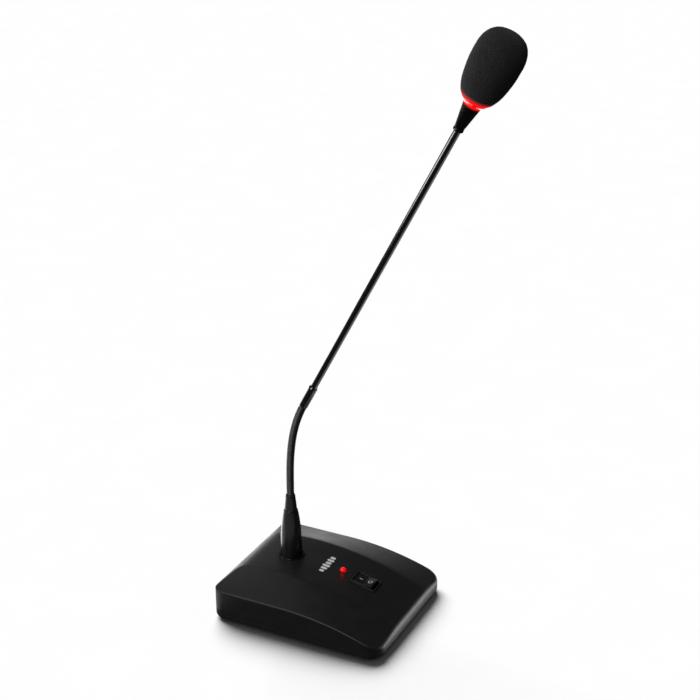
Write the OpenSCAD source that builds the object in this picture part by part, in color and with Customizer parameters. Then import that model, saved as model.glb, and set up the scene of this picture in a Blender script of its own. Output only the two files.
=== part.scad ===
// Gooseneck podium microphone: wedge base, short flexible neck, slim rod and a capsule head.
// Millimetres. The origin is the centre of the base's footprint on the table, +Z is up and
// the talker's side with the switch faces -Y.

/* [Base] */
// Length of the base, front to rear
base_len = 140; // [130:1:150]
// Width of the base
base_wid = 117.4; // [110:0.2:124]
// Height of the base at its rear and side edges
edge_height = 25.6; // [25:0.1:27]
// Height of the crown of the centre panel
crown_height = 35.6; // [35:0.1:38]
// Height of the parting line between the tray and the cover
parting_height = 7.6; // [7:0.1:8.4]
// Wall of the moulded cover
wall = 2.4; // [2:0.1:2.6]
// Corner radius of the front corners in plan
front_corner = 12; // [10:0.5:14]
// Corner radius of the rear corners in plan
rear_corner = 9; // [8:0.5:12]
// Thickness of the rubber pad under the tray
pad_thick = 1.2; // [1:0.1:1.4]

/* [Controls] */
// Distance of the rocker switch's centre in front of the base's centre
switch_y = 32; // [31:0.5:33]
// Swing of the rocker between on and off
rocker_swing = 18; // [14:1:18]
// Distance of the power light in front of the base's centre
light_y = 12.4; // [11.5:0.1:13]
// Diameter of the power light
light_d = 5; // [4.8:0.1:5]

/* [Stem] */
// Distance of the stem behind the base's centre
stem_y = 32.2; // [31:0.2:33]
// Height of the top of the stem's root
root_top = 87.6; // [85:0.2:90]
// Forward tilt of the rod
rod_tilt = 27.9; // [24:0.1:30]
// Length of the flexible neck between its root and its collar
flex_len = 76.8; // [74:0.2:80]
// Outside diameter of the flexible neck
flex_d = 6; // [5.8:0.1:6]
// Outside diameter of the rod
rod_d = 5.28; // [5.2:0.02:5.3]
// Distance from the start of the collar to the underside of the head's neck
rod_reach = 251.6; // [240:0.2:260]

/* [Head] */
// Largest diameter of the foam windscreen
foam_d = 34.2; // [33:0.2:36]
// Diameter of the light ring's rim
ring_d = 19.8; // [19.4:0.2:20.2]
// Diameter of the capsule housing inside the foam
housing_d = 15.2; // [15:0.1:15.4]

/* [Hidden] */
$fn = 96;
slack = 0.3;
hair = 0.02;

// Side profile of the centre panel: one long arch that rolls down to the rear edge.
crown_y = 26.8;
arch_r = 232;
arch_z = crown_height - arch_r;
roll_r = 24;
roll_start = 54.4;
roll_lean = asin((roll_start - crown_y) / arch_r);
roll_y = crown_y + (arch_r - roll_r) * sin(roll_lean);
roll_z = arch_z + (arch_r - roll_r) * cos(roll_lean);
// Side facets: they fall from the panel to the side walls.
facet_lean = 16;
facet_arc_r = 228;
facet_arc_y = 10;
facet_top = cos(facet_lean) * (edge_height + base_wid / 2 * tan(facet_lean));

tray_floor = pad_thick + 1.8;
tray_wall = 3.5;
lip_height = 1.8;
bottom_round = 3.6;

// Case screw places, mirrored left and right.
case_screw_xy = [[49, -47], [49, 4], [49, 55]];
ballast_box = [54, 52, 4];
ballast_at = [-47, -59];

// Battery bay on the left of the stem: two cells side by side, along Y.
cell_d = 14.3;
cell_len = 50;
bay_x = [-42.5, -10.5];
bay_y = [10, 66.5];
bay_top = 20.4;
bay_wall = 1.4;
door_thick = 1.6;

// Circuit board on the right, on four pillars of the tray.
board_size = [34, 62, 1.6];
board_at = [9.5, -50];
board_z = 9;
board_hole_inset = 3;

jack_x = 27;
jack_z = 15.6;
jack_bore_r = 3.3;
jack_depth = 27;

// Rocker switch, standard small size, set square to the panel.
bezel = [15, 21, 1.6];
cutout = [13.2, 19.2];
bezel_proud = 0.5;
pocket_gap = 0.5;
pocket_depth = bezel[2] - bezel_proud;
rocker_half_wid = 5.5;
rocker_half_len = 7.9;
pivot_depth = 3;
rocker_pin_r = 1.2;
well_gap = 0.3;
housing_depth = 12.5;

panel_under_stem = arch_z + sqrt(pow(arch_r, 2) - pow(stem_y - crown_y, 2));
flange_d = 20.6;
flange_thick = 1.4;
flange_seat = panel_under_stem - 0.6;
flange_top = flange_seat + flange_thick;
bush_r = 5;
bush_bore_r = 2.2;
bush_bottom = 19;
nut_top = panel_under_stem - wall - 0.1;
groove_z = 75.2;
groove = 0.5;
root_bore_r = 2.4;

// Flexible neck: ball-and-socket links that follow a curve, straight at the root.
links = 12;
pitch = flex_len / links;
curve_power = 2;
ball_r = 1.95;
socket_r = ball_r + slack;
mouth_drop = 0.9;
link_gap = 0.75;
ball_neck_r = 1.35;
lead_r = 0.65;
lead_bore_r = 1.0;
function lean(k) = rod_tilt * pow((k + 0.5) / links, curve_power);
function step(a, d) = [0, -sin(a) * d, cos(a) * d];
function joint_at(k) = k <= 0
    ? [0, stem_y, root_top + mouth_drop + link_gap]
    : joint_at(k - 1) + step(k >= links ? rod_tilt : lean(k - 1), pitch);
collar_at = joint_at(links);

// Distances along the rod from the start of the collar.
collar_len = 20.4;
collar_r = 3.5;
rod_start = 10.8;
head_start = rod_reach;
neck_len = 20.9;
ring_start = head_start + neck_len + 0.2;
ring_len = 4.3;
housing_start = ring_start + 1.8;
housing_len = 25.5;
grille_start = housing_start + housing_len;
foam_start = ring_start + ring_len + slack;
foam_belly = head_start + 54;
foam_top = 20.2;
foam_tail = 32.4;

module at_panel(y) {
    translate([0, crown_y, arch_z])
        rotate([asin((crown_y - y) / arch_r), 0, 0])
            translate([0, 0, arch_r])
                children();
}

module at_rod(s) {
    translate(collar_at + step(rod_tilt, s))
        rotate([rod_tilt, 0, 0])
            children();
}

module left_right() {
    children();
    mirror([1, 0, 0]) children();
}

module tube(r, bore_r, h) {
    difference() {
        cylinder(r = r, h = h);
        translate([0, 0, -1]) cylinder(r = bore_r, h = h + 2);
    }
}

// Plan of the base, drawn in from its edge by some amount, as an upright block.
module plan_block(inset, z0, z1) {
    w = base_wid / 2 - inset;
    y0 = -base_len / 2 + inset;
    y1 = base_len / 2 - inset;
    rf = front_corner - inset;
    rr = rear_corner - inset;
    translate([0, 0, z0]) linear_extrude(z1 - z0) {
        translate([-w, y0 + rf]) square([2 * w, y1 - y0 - rf - rr]);
        translate([-w + rf, y0]) square([2 * (w - rf), rf + 1]);
        translate([-w + rr, y1 - rr - 1]) square([2 * (w - rr), rr + 1]);
        for (side = [-1, 1]) {
            translate([side * (w - rf), y0 + rf]) circle(r = rf);
            translate([side * (w - rr), y1 - rr]) circle(r = rr);
        }
    }
}

// Section of a wall with a round bottom edge, for the outside of the tray.
module round_edge_section(half, h) {
    translate([0, bottom_round]) square([half, h - bottom_round]);
    square([half - bottom_round, bottom_round + 1]);
    intersection() {
        translate([half - bottom_round, bottom_round]) circle(r = bottom_round);
        square([half, bottom_round]);
    }
}

// Outside of the tray up to the parting line, its bottom edge rounded all round.
module tray_outside() {
    h = parting_height - pad_thick;
    w = base_wid / 2;
    y0 = -base_len / 2;
    y1 = base_len / 2;
    translate([0, 0, pad_thick]) {
        left_right() {
            translate([0, y1 - rear_corner, 0]) rotate([90, 0, 0])
                linear_extrude(base_len - front_corner - rear_corner) round_edge_section(w, h);
            translate([w - front_corner, y0 + front_corner, 0])
                rotate_extrude() round_edge_section(front_corner, h);
            translate([w - rear_corner, y1 - rear_corner, 0])
                rotate_extrude() round_edge_section(rear_corner, h);
        }
        translate([-w + front_corner, 0, 0]) rotate([90, 0, 90]) mirror([1, 0, 0])
            linear_extrude(2 * (w - front_corner)) round_edge_section(-y0, h);
        translate([-w + rear_corner, 0, 0]) rotate([90, 0, 90])
            linear_extrude(2 * (w - rear_corner)) round_edge_section(y1, h);
    }
}

// Solid under the arch of the centre panel, lowered by some amount.
module arch_block(drop) {
    translate([-base_wid, 0, 0]) rotate([90, 0, 90]) linear_extrude(2 * base_wid) {
        intersection() {
            translate([crown_y, arch_z]) circle(r = arch_r - drop, $fn = 360);
            translate([-base_len, 0]) square([base_len + roll_start, 60]);
        }
        intersection() {
            translate([roll_y, roll_z]) circle(r = roll_r - drop);
            translate([roll_start, roll_z]) square([40, 40]);
        }
        translate([roll_start - 1, 0]) square([roll_y + roll_r - drop - roll_start + 1, roll_z + 1]);
    }
}

// Solid under one side facet, lowered by some amount.
module facet_block(drop) {
    rotate([0, facet_lean, 0]) translate([-base_wid, 0, 0]) rotate([90, 0, 90])
        linear_extrude(3 * base_wid) {
            intersection() {
                translate([facet_arc_y, facet_top - facet_arc_r])
                    circle(r = facet_arc_r - drop, $fn = 360);
                translate([-base_len, -60]) square([base_len + facet_arc_y, 150]);
            }
            translate([facet_arc_y, -60]) square([base_len, 60 + facet_top - drop]);
        }
}

module base_inside(inset, z0, drop) {
    intersection() {
        plan_block(inset, z0, 60);
        arch_block(drop);
        facet_block(drop);
        mirror([1, 0, 0]) facet_block(drop);
    }
}

module top_cover() {
    color([0.10, 0.10, 0.11]) difference() {
        union() {
            difference() {
                base_inside(0, parting_height, 0);
                base_inside(wall, parting_height - 1, wall);
            }
            intersection() {
                base_inside(1, parting_height + lip_height + 0.3, 1);
                left_right() for (p = case_screw_xy)
                    translate([p[0], p[1], 0]) cylinder(r = 3.4, h = 60);
            }
        }
        left_right() for (p = case_screw_xy)
            translate([p[0], p[1], parting_height - 1]) cylinder(r = 1.3, h = 8.5);
        at_panel(-switch_y) {
            translate([-bezel[0] / 2 - pocket_gap, -bezel[1] / 2 - pocket_gap, -pocket_depth])
                cube([bezel[0] + 2 * pocket_gap, bezel[1] + 2 * pocket_gap, 10]);
            translate([-cutout[0] / 2, -cutout[1] / 2, -10]) cube([cutout[0], cutout[1], 20]);
        }
        at_panel(-light_y) translate([0, 0, -10]) cylinder(r = light_d / 2 + 0.6, h = 20);
        translate([0, stem_y, 20]) cylinder(r = bush_r + 0.1, h = 30);
        translate([0, stem_y, flange_seat]) cylinder(r = flange_d / 2 + 0.1, h = 10);
        translate([0, stem_y, nut_top - 5]) cylinder(r = 9.2, h = 5);
        translate([jack_x, base_len / 2 - 10, jack_z]) rotate([-90, 0, 0])
            cylinder(r = 4.6, h = 20);
    }
}

module screw_holes(r, z0, z1) {
    left_right() for (p = case_screw_xy)
        translate([p[0], p[1], z0]) cylinder(r = r, h = z1 - z0);
}

module bottom_tray() {
    color([0.09, 0.09, 0.10]) difference() {
        union() {
            difference() {
                tray_outside();
                plan_block(tray_wall, tray_floor, 60);
            }
            difference() {
                plan_block(wall + 0.1, tray_floor - 1, parting_height + lip_height);
                plan_block(tray_wall, tray_floor - 2, 60);
            }
            screw_bosses();
            board_pillars();
            bay_walls();
        }
        screw_holes(1.7, 0, 60);
        screw_holes(3.1, 0, tray_floor + 0.6);
        board_holes(1.0, tray_floor + 1, 20);
        ballast_holes(1.3, pad_thick + 0.6);
        bay_hollow();
    }
}

module screw_bosses() {
    left_right() for (p = case_screw_xy)
        translate([p[0], p[1], tray_floor - 0.5])
            cylinder(r = 4.4, h = parting_height + lip_height - tray_floor + 0.5);
}

module board_places() {
    for (i = [0, 1], j = [0, 1])
        translate([
            board_at[0] + board_hole_inset + i * (board_size[0] - 2 * board_hole_inset),
            board_at[1] + board_hole_inset + j * (board_size[1] - 2 * board_hole_inset),
            0
        ]) children();
}

module board_pillars() {
    board_places() translate([0, 0, tray_floor - 0.5])
        cylinder(r = 2.6, h = board_z - tray_floor + 0.5);
}

module board_holes(r, z0, z1) {
    board_places() translate([0, 0, z0]) cylinder(r = r, h = z1 - z0);
}

module ballast_places() {
    for (i = [0, 1])
        translate([
            ballast_at[0] + 6 + i * (ballast_box[0] - 12),
            ballast_at[1] + ballast_box[1] / 2,
            0
        ]) children();
}

module ballast_holes(r, z0) {
    ballast_places() translate([0, 0, z0]) cylinder(r = r, h = 20);
}

module bay_walls() {
    translate([bay_x[0] - bay_wall, bay_y[0] - bay_wall, pad_thick])
        cube([
            bay_x[1] - bay_x[0] + 2 * bay_wall,
            base_len / 2 - tray_wall - bay_y[0] + bay_wall + 1,
            bay_top + bay_wall - pad_thick
        ]);
}

// The bay is open below; the door runs in a slot that reaches the rear edge.
module bay_hollow() {
    translate([bay_x[0], bay_y[0], pad_thick + door_thick - 0.5])
        cube([bay_x[1] - bay_x[0], bay_y[1] - bay_y[0], bay_top - pad_thick - door_thick + 0.5]);
    translate([bay_x[0] - 1, bay_y[0] - 1, 0])
        cube([bay_x[1] - bay_x[0] + 2, base_len, pad_thick + door_thick + 0.1]);
}

module battery_door() {
    inset = 0.8;
    color([0.09, 0.09, 0.10]) intersection() {
        tray_outside();
        translate([bay_x[0] - inset, bay_y[0] - inset, 0])
            cube([bay_x[1] - bay_x[0] + 2 * inset, base_len, pad_thick + door_thick]);
    }
}

module cell_places() {
    for (i = [0, 1])
        translate([
            (bay_x[0] + bay_x[1]) / 2 + (i - 0.5) * (cell_d + 0.6),
            bay_y[0] + 3,
            pad_thick + door_thick + 0.4 + cell_d / 2
        ]) rotate([-90, 0, 0]) children();
}

module battery_cells() {
    color([0.75, 0.62, 0.25]) cell_places() {
        cylinder(r = cell_d / 2, h = cell_len - 1.2);
        translate([0, 0, cell_len - 1.3]) cylinder(r = 2.7, h = 1.3);
    }
}

module battery_contacts() {
    color([0.80, 0.80, 0.82]) cell_places() {
        translate([-5, -5, cell_len + 0.05]) cube([10, 10, 0.5]);
        translate([0, 0, -2.9]) cylinder(r = 5, h = 0.5);
        for (turn = [0 : 2])
            translate([0, 0, -2.3 + turn * 0.8]) rotate_extrude()
                translate([3.6 - turn * 0.6, 0]) circle(r = 0.35);
    }
}

// Anti-slip pad glued under the tray, cut out for the battery door and the case screws.
module rubber_pad() {
    color([0.05, 0.05, 0.05]) difference() {
        plan_block(bottom_round + 1, 0, pad_thick);
        translate([bay_x[0] - 2.5, bay_y[0] - 2.5, -1])
            cube([bay_x[1] - bay_x[0] + 5, base_len, pad_thick + 2]);
        screw_holes(3.6, -1, pad_thick + 1);
    }
}

module case_screws() {
    head_top = tray_floor + 0.6;
    color([0.55, 0.55, 0.57]) left_right() for (p = case_screw_xy)
        translate([p[0], p[1], head_top]) difference() {
            union() {
                translate([0, 0, -2]) cylinder(r = 2.8, h = 2);
                translate([0, 0, -0.5]) cylinder(r = 1.28, h = parting_height + 6 - head_top);
            }
            translate([-0.4, -1.8, -3]) cube([0.8, 3.6, 1.8]);
            translate([-1.8, -0.4, -3]) cube([3.6, 0.8, 1.8]);
        }
}

module ballast_plate() {
    color([0.42, 0.43, 0.45]) difference() {
        translate([ballast_at[0], ballast_at[1], tray_floor]) cube(ballast_box);
        ballast_holes(1.7, 0);
        screw_holes(4.8, 0, 30);
    }
}

module ballast_screws() {
    color([0.70, 0.70, 0.72]) ballast_places()
        translate([0, 0, tray_floor + ballast_box[2]]) {
            cylinder(r = 3, h = 1.8);
            translate([0, 0, -5.2]) cylinder(r = 1.28, h = 5.4);
        }
}

module circuit_board() {
    color([0.07, 0.30, 0.14]) difference() {
        translate([board_at[0], board_at[1], board_z]) cube(board_size);
        board_holes(1.3, 0, 20);
    }
}

module board_screws() {
    color([0.75, 0.75, 0.77]) board_places() translate([0, 0, board_z + board_size[2]]) {
        cylinder(r = 2.1, h = 1.4);
        translate([0, 0, -5.5]) cylinder(r = 0.98, h = 5.6);
    }
}

module on_board(x, y) {
    translate([board_at[0] + x, board_at[1] + y, board_z + board_size[2]]) children();
}

module preamp_chip() {
    color([0.06, 0.06, 0.06]) on_board(8, 12) {
        translate([-3.2, -4.8, 0.6]) cube([6.4, 9.6, 3.2]);
        for (i = [0 : 3], side = [-1, 1])
            translate([side * 3.8 - 0.4, -4.1 + i * 2.54, 0]) cube([0.8, 0.6, 2.2]);
    }
}

module capacitors() {
    color([0.12, 0.16, 0.36]) for (p = [[20, 9, 2.5, 7], [27, 16, 2.5, 7], [8, 27, 3.2, 8], [27, 30, 2, 5]])
        on_board(p[0], p[1]) cylinder(r = p[2], h = p[3]);
}

module output_transformer() {
    color([0.50, 0.46, 0.30]) on_board(17, 46) {
        translate([-7, -6, 0]) cube([14, 12, 2.5]);
        translate([-5, -6, 2.4]) cube([10, 12, 6.4]);
        translate([-7, -4, 2.4]) cube([14, 8, 4.6]);
    }
}

// Panel jack for a 6.35 mm plug: its thread passes the rear wall.
module output_jack() {
    color([0.12, 0.12, 0.12]) translate([jack_x, base_len / 2, jack_z]) rotate([-90, 0, 0])
        difference() {
            union() {
                translate([0, 0, -wall - 3]) cylinder(r = 4.5, h = wall + 6);
                translate([-7.6, -6.2, -jack_depth]) cube([15.2, 12.4, jack_depth - wall - 0.1]);
            }
            translate([0, 0, -jack_depth + 2]) cylinder(r = jack_bore_r, h = jack_depth + 2);
        }
}

module jack_nut() {
    color([0.75, 0.75, 0.77]) translate([jack_x, base_len / 2, jack_z]) rotate([-90, 0, 0])
        difference() {
            cylinder(r = 6.8, h = 2.2, $fn = 6);
            translate([0, 0, -1]) cylinder(r = 4.5 + hair, h = 5);
        }
}

module switch_housing() {
    top = bezel_proud;
    well_w = 2 * (rocker_half_wid + well_gap);
    well_l = 2 * (rocker_half_len + 1);
    color([0.07, 0.07, 0.07]) at_panel(-switch_y) difference() {
        union() {
            translate([-bezel[0] / 2, -bezel[1] / 2, top - bezel[2]]) cube(bezel);
            translate([-cutout[0] / 2 + 0.1, -cutout[1] / 2 + 0.1, -housing_depth])
                cube([cutout[0] - 0.2, cutout[1] - 0.2, housing_depth]);
        }
        translate([-well_w / 2, -well_l / 2, -8.5]) cube([well_w, well_l, 20]);
        translate([0, 0, -pivot_depth]) rotate([0, 90, 0])
            cylinder(r = rocker_pin_r + 0.05, h = 2 * rocker_half_wid + 1.6, center = true);
    }
}

// The rocker rests with its rear half pressed: on.
module switch_rocker() {
    top = pivot_depth + 0.2;
    end_rise = rocker_half_len * tan(rocker_swing / 2);
    color([0.08, 0.08, 0.08]) at_panel(-switch_y) translate([0, 0, -pivot_depth])
        rotate([-rocker_swing / 2, 0, 0]) {
            rotate([90, 0, 90]) translate([0, 0, -rocker_half_wid])
                linear_extrude(2 * rocker_half_wid) polygon([
                    [-rocker_half_len, top + end_rise], [0, top], [rocker_half_len, top + end_rise],
                    [rocker_half_len - 1, -0.6], [3.4, -3.6], [-3.4, -3.6], [-rocker_half_len + 1, -0.6]
                ]);
            rotate([0, 90, 0])
                cylinder(r = rocker_pin_r, h = 2 * rocker_half_wid + 1.2, center = true);
        }
}

module switch_terminals() {
    color([0.80, 0.68, 0.35]) at_panel(-switch_y) for (y = [-5, 5])
        translate([-2.4, y - 0.4, -housing_depth - 4.7]) cube([4.8, 0.8, 4.7]);
}

module power_light() {
    color([0.85, 0.05, 0.05]) at_panel(-light_y) {
        translate([0, 0, -4]) cylinder(r = light_d / 2 - 0.02, h = 4.2);
        translate([0, 0, 0.2]) intersection() {
            sphere(r = light_d / 2 - 0.02);
            cylinder(r = light_d, h = light_d);
        }
        translate([0, 0, -5]) cylinder(r = 2.9, h = 1);
        for (side = [-1, 1])
            translate([side * 1.27, 0, -9]) cylinder(r = 0.25, h = 4.2);
    }
}

module light_holder() {
    color([0.05, 0.05, 0.05]) at_panel(-light_y) {
        translate([0, 0, -4]) tube(light_d / 2 + 0.55, light_d / 2, 4);
        translate([0, 0, -4]) tube(light_d / 2 + 1.6, light_d / 2, 1.2);
    }
}

module stem_flange() {
    color([0.10, 0.10, 0.10]) translate([0, stem_y, flange_seat])
        tube(flange_d / 2, bush_r + 0.1, flange_thick);
}

// Hollow threaded bush that clamps the stem to the cover; the lead runs through it.
module stem_bush() {
    color([0.62, 0.63, 0.65]) translate([0, stem_y, bush_bottom]) difference() {
        cylinder(r = bush_r, h = 42 - bush_bottom);
        translate([0, 0, -1]) cylinder(r = bush_bore_r, h = 50);
    }
}

module stem_washer() {
    color([0.70, 0.70, 0.72]) translate([0, stem_y, nut_top - 1])
        tube(8.6, bush_r + 0.15, 1);
}

module stem_nut() {
    color([0.70, 0.70, 0.72]) translate([0, stem_y, nut_top - 1 - 4.2]) difference() {
        cylinder(r = 8.4, h = 4.2, $fn = 6);
        translate([0, 0, -1]) cylinder(r = bush_r + hair, h = 8);
    }
}

module root_cone() {
    outline = [
        [8.8, flange_top], [8.6, 38.5], [8.35, 43], [8.15, 48], [7.95, 53], [7.7, 58],
        [7.35, 62], [6.75, 66.5], [6.1, 71], [5.45, groove_z - groove], [4.9, groove_z - groove],
        [4.9, groove_z]
    ];
    color([0.08, 0.08, 0.08]) translate([0, stem_y, 0]) difference() {
        rotate_extrude() polygon(concat([[0, flange_top]], outline, [[0, groove_z]]));
        translate([0, 0, 30]) cylinder(r = root_bore_r, h = 60);
        translate([0, 0, 30]) cylinder(r = bush_r + hair, h = 12);
    }
}

module root_sleeve() {
    cap = 1.2;
    outline = [
        [4.9, groove_z], [4.55, 79.5], [4.2, 82.5], [3.85, root_top - cap - 0.3],
        [3.65, root_top - cap - 0.3], [3.65, root_top - cap], [3.8, root_top - cap],
        [3.6, root_top]
    ];
    color([0.08, 0.08, 0.08]) translate([0, stem_y, 0]) difference() {
        rotate_extrude() polygon(concat([[0, groove_z]], outline, [[0, root_top]]));
        translate([0, 0, groove_z - 1]) cylinder(r = root_bore_r, h = 30);
        translate([0, 0, root_top - 8]) cylinder(r = flex_d / 2 + hair, h = 10);
    }
}

// Ball on a narrow stalk, standing on a shoulder one gap below the next link's mouth.
module ball_end(joint_z) {
    translate([0, 0, joint_z]) sphere(r = ball_r);
    translate([0, 0, joint_z - mouth_drop - link_gap - 0.5])
        cylinder(r = ball_neck_r, h = mouth_drop + link_gap + 0.5);
}

module flex_ferrule() {
    color([0.16, 0.16, 0.17]) translate([0, stem_y, root_top - 8]) difference() {
        union() {
            cylinder(r = flex_d / 2, h = 8);
            ball_end(8 + mouth_drop + link_gap);
        }
        translate([0, 0, -1]) cylinder(r = lead_bore_r, h = 20);
    }
}

// Link number k sits on joint number k - 1. The last one has a plain tail for the collar.
module flex_link(k) {
    last = k == links;
    body_top = last ? pitch + 7.6 : pitch - mouth_drop - link_gap;
    color([0.16, 0.16, 0.17]) translate(joint_at(k - 1))
        rotate([last ? rod_tilt : lean(k - 1), 0, 0]) difference() {
            union() {
                translate([0, 0, -mouth_drop]) cylinder(r = flex_d / 2, h = body_top + mouth_drop);
                if (!last) ball_end(pitch);
            }
            sphere(r = socket_r);
            translate([0, 0, -mouth_drop - 1]) cylinder(r = lead_bore_r, h = body_top + 12);
        }
}

module neck_collar() {
    color([0.08, 0.08, 0.08]) at_rod(0) difference() {
        union() {
            cylinder(r1 = 3.2, r2 = collar_r, h = 1.2);
            translate([0, 0, 1.2]) cylinder(r = collar_r, h = collar_len - 2.8);
            translate([0, 0, collar_len - 1.6]) cylinder(r1 = collar_r, r2 = 2.8, h = 1.6);
        }
        translate([0, 0, -1]) cylinder(r = flex_d / 2 + hair, h = 9);
        cylinder(r = rod_d / 2 + hair, h = 30);
    }
}

module rod() {
    color([0.05, 0.05, 0.05]) at_rod(rod_start)
        tube(rod_d / 2, rod_d / 2 - 0.6, head_start + 7 - rod_start);
}

module head_neck() {
    lip = 1.6;
    top_r = 6.7;
    color([0.06, 0.06, 0.06]) at_rod(head_start) difference() {
        union() {
            cylinder(r = 3.75, h = lip);
            translate([0, 0, lip]) cylinder(r1 = 3.5, r2 = top_r, h = neck_len - lip);
        }
        translate([0, 0, -1]) cylinder(r = rod_d / 2 + hair, h = 9);
        translate([0, 0, 7]) cylinder(r = 1.7, h = 20);
        translate([0, 0, neck_len - 2.6]) cylinder(r = 5.3, h = 5);
    }
}

module ring_board() {
    color([0.07, 0.30, 0.14]) at_rod(head_start + neck_len - 2.6) tube(5.2, 1.6, 1);
}

module ring_lamps() {
    color([0.90, 0.15, 0.12]) at_rod(head_start + neck_len - 1.6) for (i = [0 : 5])
        rotate([0, 0, 60 * i]) translate([3.0, -0.8, 0]) cube([1.6, 1.6, 0.8]);
}

// Moulded clear ring that carries the lamps' light out under the foam.
module light_ring() {
    rim = 1;
    color([0.90, 0.05, 0.05]) at_rod(ring_start) difference() {
        union() {
            cylinder(r1 = 6.8, r2 = ring_d / 2, h = ring_len - rim);
            translate([0, 0, ring_len - rim]) cylinder(r = ring_d / 2, h = rim);
        }
        translate([0, 0, -1]) cylinder(r = 2, h = 10);
        translate([0, 0, housing_start - ring_start])
            cylinder(r = housing_d / 2 + hair, h = 10);
    }
}

module capsule_housing() {
    r = housing_d / 2;
    color([0.55, 0.55, 0.57]) at_rod(housing_start) difference() {
        cylinder(r = r, h = housing_len);
        translate([0, 0, 1.2]) cylinder(r = r - 0.9, h = housing_len);
        translate([0, 0, -1]) cylinder(r = 2, h = 5);
        for (i = [0 : 7]) rotate([0, 0, 45 * i])
            translate([0, -0.9, 7.5]) cube([20, 1.8, 7]);
    }
}

module capsule_grille() {
    r = housing_d / 2;
    color([0.60, 0.60, 0.62]) at_rod(grille_start) difference() {
        union() {
            cylinder(r = r, h = 2);
            translate([0, 0, 2]) cylinder(r1 = r, r2 = r - 2.4, h = 2.6);
        }
        translate([0, 0, -1]) cylinder(r = r - 0.9, h = 3.1);
        translate([0, 0, 2]) cylinder(r1 = r - 0.9, r2 = r - 3.1, h = 1.7);
        for (ring = [0 : 2]) for (i = [0 : max(1, 6 * ring) - 1])
            rotate([0, 0, 360 / max(1, 6 * ring) * i])
                translate([1.9 * ring, 0, 0]) cylinder(r = 0.6, h = 10);
    }
}

module capsule_mount() {
    color([0.10, 0.10, 0.10]) at_rod(grille_start - 9)
        tube(housing_d / 2 - 0.95, 4.88, 8);
}

module capsule() {
    color([0.78, 0.78, 0.80]) at_rod(grille_start - 8) {
        cylinder(r = 4.85, h = 6.7);
        translate([0, 0, -1.4]) cylinder(r = 1.2, h = 1.5);
    }
}

// Egg-shaped foam: a long tail below the belly and a blunt top, cut flat below.
module windscreen() {
    belly = foam_d / 2;
    cavity_r = housing_d / 2 + slack;
    cut = (foam_belly - foam_start) / foam_tail;
    function tail_r(t) = belly * pow(1 - pow(t, 1.87), 0.292);
    function top_r(t) = belly * pow(1 - pow(t, 2.75), 1 / 2.75);
    tail = [for (i = [0 : 8]) let (t = cut * (1 - i / 8)) [tail_r(t), -t * foam_tail]];
    crown = [for (i = [1 : 10]) let (t = sin(90 * i / 10)) [i == 10 ? 0 : top_r(t), t * foam_top]];
    color([0.13, 0.13, 0.13]) at_rod(foam_belly) difference() {
        rotate_extrude() polygon(concat([[0, -cut * foam_tail]], tail, crown));
        translate([0, 0, -cut * foam_tail - 1])
            cylinder(r = cavity_r, h = grille_start + 5.2 - foam_start + 1);
    }
}

// Tube swept along a list of points, closed at both ends.
function unit(v) = v / norm(v);
function heading(p, i) = unit(p[min(i + 1, len(p) - 1)] - p[max(i - 1, 0)]);
function ring_points(c, d, r, n) =
    let (a = unit(cross(d, abs(d[0]) > 0.9 ? [0, 0, 1] : [1, 0, 0])), b = cross(d, a))
    [for (k = [0 : n - 1]) c + r * (cos(360 * k / n) * a + sin(360 * k / n) * b)];
module swept(p, r, n = 8) {
    rings = len(p);
    pts = [for (i = [0 : rings - 1]) each ring_points(p[i], heading(p, i), r, n)];
    faces = concat(
        [[for (k = [0 : n - 1]) k]],
        [[for (k = [n - 1 : -1 : 0]) (rings - 1) * n + k]],
        [for (i = [0 : rings - 2], k = [0 : n - 1])
            [i * n + k, (i + 1) * n + k, (i + 1) * n + (k + 1) % n, i * n + (k + 1) % n]]
    );
    polyhedron(points = pts, faces = faces, convexity = 6);
}

// The capsule's lead: from the board, up the bush and the root, through the neck and the rod.
lead_down = [[20, 8, 12], [16, 14, 13.5], [9, 22, 14], [3, 29, 14.5], [0, 32.2, 16.5], [0, 32.2, 19]];
lead_up = [for (z = [26 : 9 : 80]) [0, stem_y, z]];
module base_lead() {
    color([0.30, 0.30, 0.32]) swept(concat(lead_down, lead_up, [[0, stem_y, root_top - 0.1]]), lead_r);
}

module flex_lead() {
    color([0.30, 0.30, 0.32])
        swept(concat([[0, stem_y, root_top]], [for (k = [0 : links]) joint_at(k)]), lead_r);
}

module rod_lead() {
    color([0.30, 0.30, 0.32]) at_rod(0.2) cylinder(r = lead_r, h = grille_start - 9.8);
}

top_cover();
bottom_tray();
rubber_pad();
case_screws();
ballast_plate();
ballast_screws();
circuit_board();
board_screws();
preamp_chip();
capacitors();
output_transformer();
output_jack();
jack_nut();
battery_door();
battery_cells();
battery_contacts();
switch_housing();
switch_rocker();
switch_terminals();
power_light();
light_holder();
stem_flange();
stem_bush();
stem_washer();
stem_nut();
root_cone();
root_sleeve();
flex_ferrule();
flex_link(1);  // flex_link_01
flex_link(2);  // flex_link_02
flex_link(3);  // flex_link_03
flex_link(4);  // flex_link_04
flex_link(5);  // flex_link_05
flex_link(6);  // flex_link_06
flex_link(7);  // flex_link_07
flex_link(8);  // flex_link_08
flex_link(9);  // flex_link_09
flex_link(10);  // flex_link_10
flex_link(11);  // flex_link_11
flex_link(12);  // flex_link_12
neck_collar();
rod();
head_neck();
ring_board();
ring_lamps();
light_ring();
capsule_housing();
capsule_grille();
capsule_mount();
capsule();
windscreen();
base_lead();
flex_lead();
rod_lead();
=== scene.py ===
# Gooseneck podium microphone: a wedge base with a rocker switch, a short flexible neck,
# a slim rod, and a capsule head with a light ring and a foam windscreen.
import math

import bmesh
import bpy
from mathutils import Matrix, Vector, noise


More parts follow.
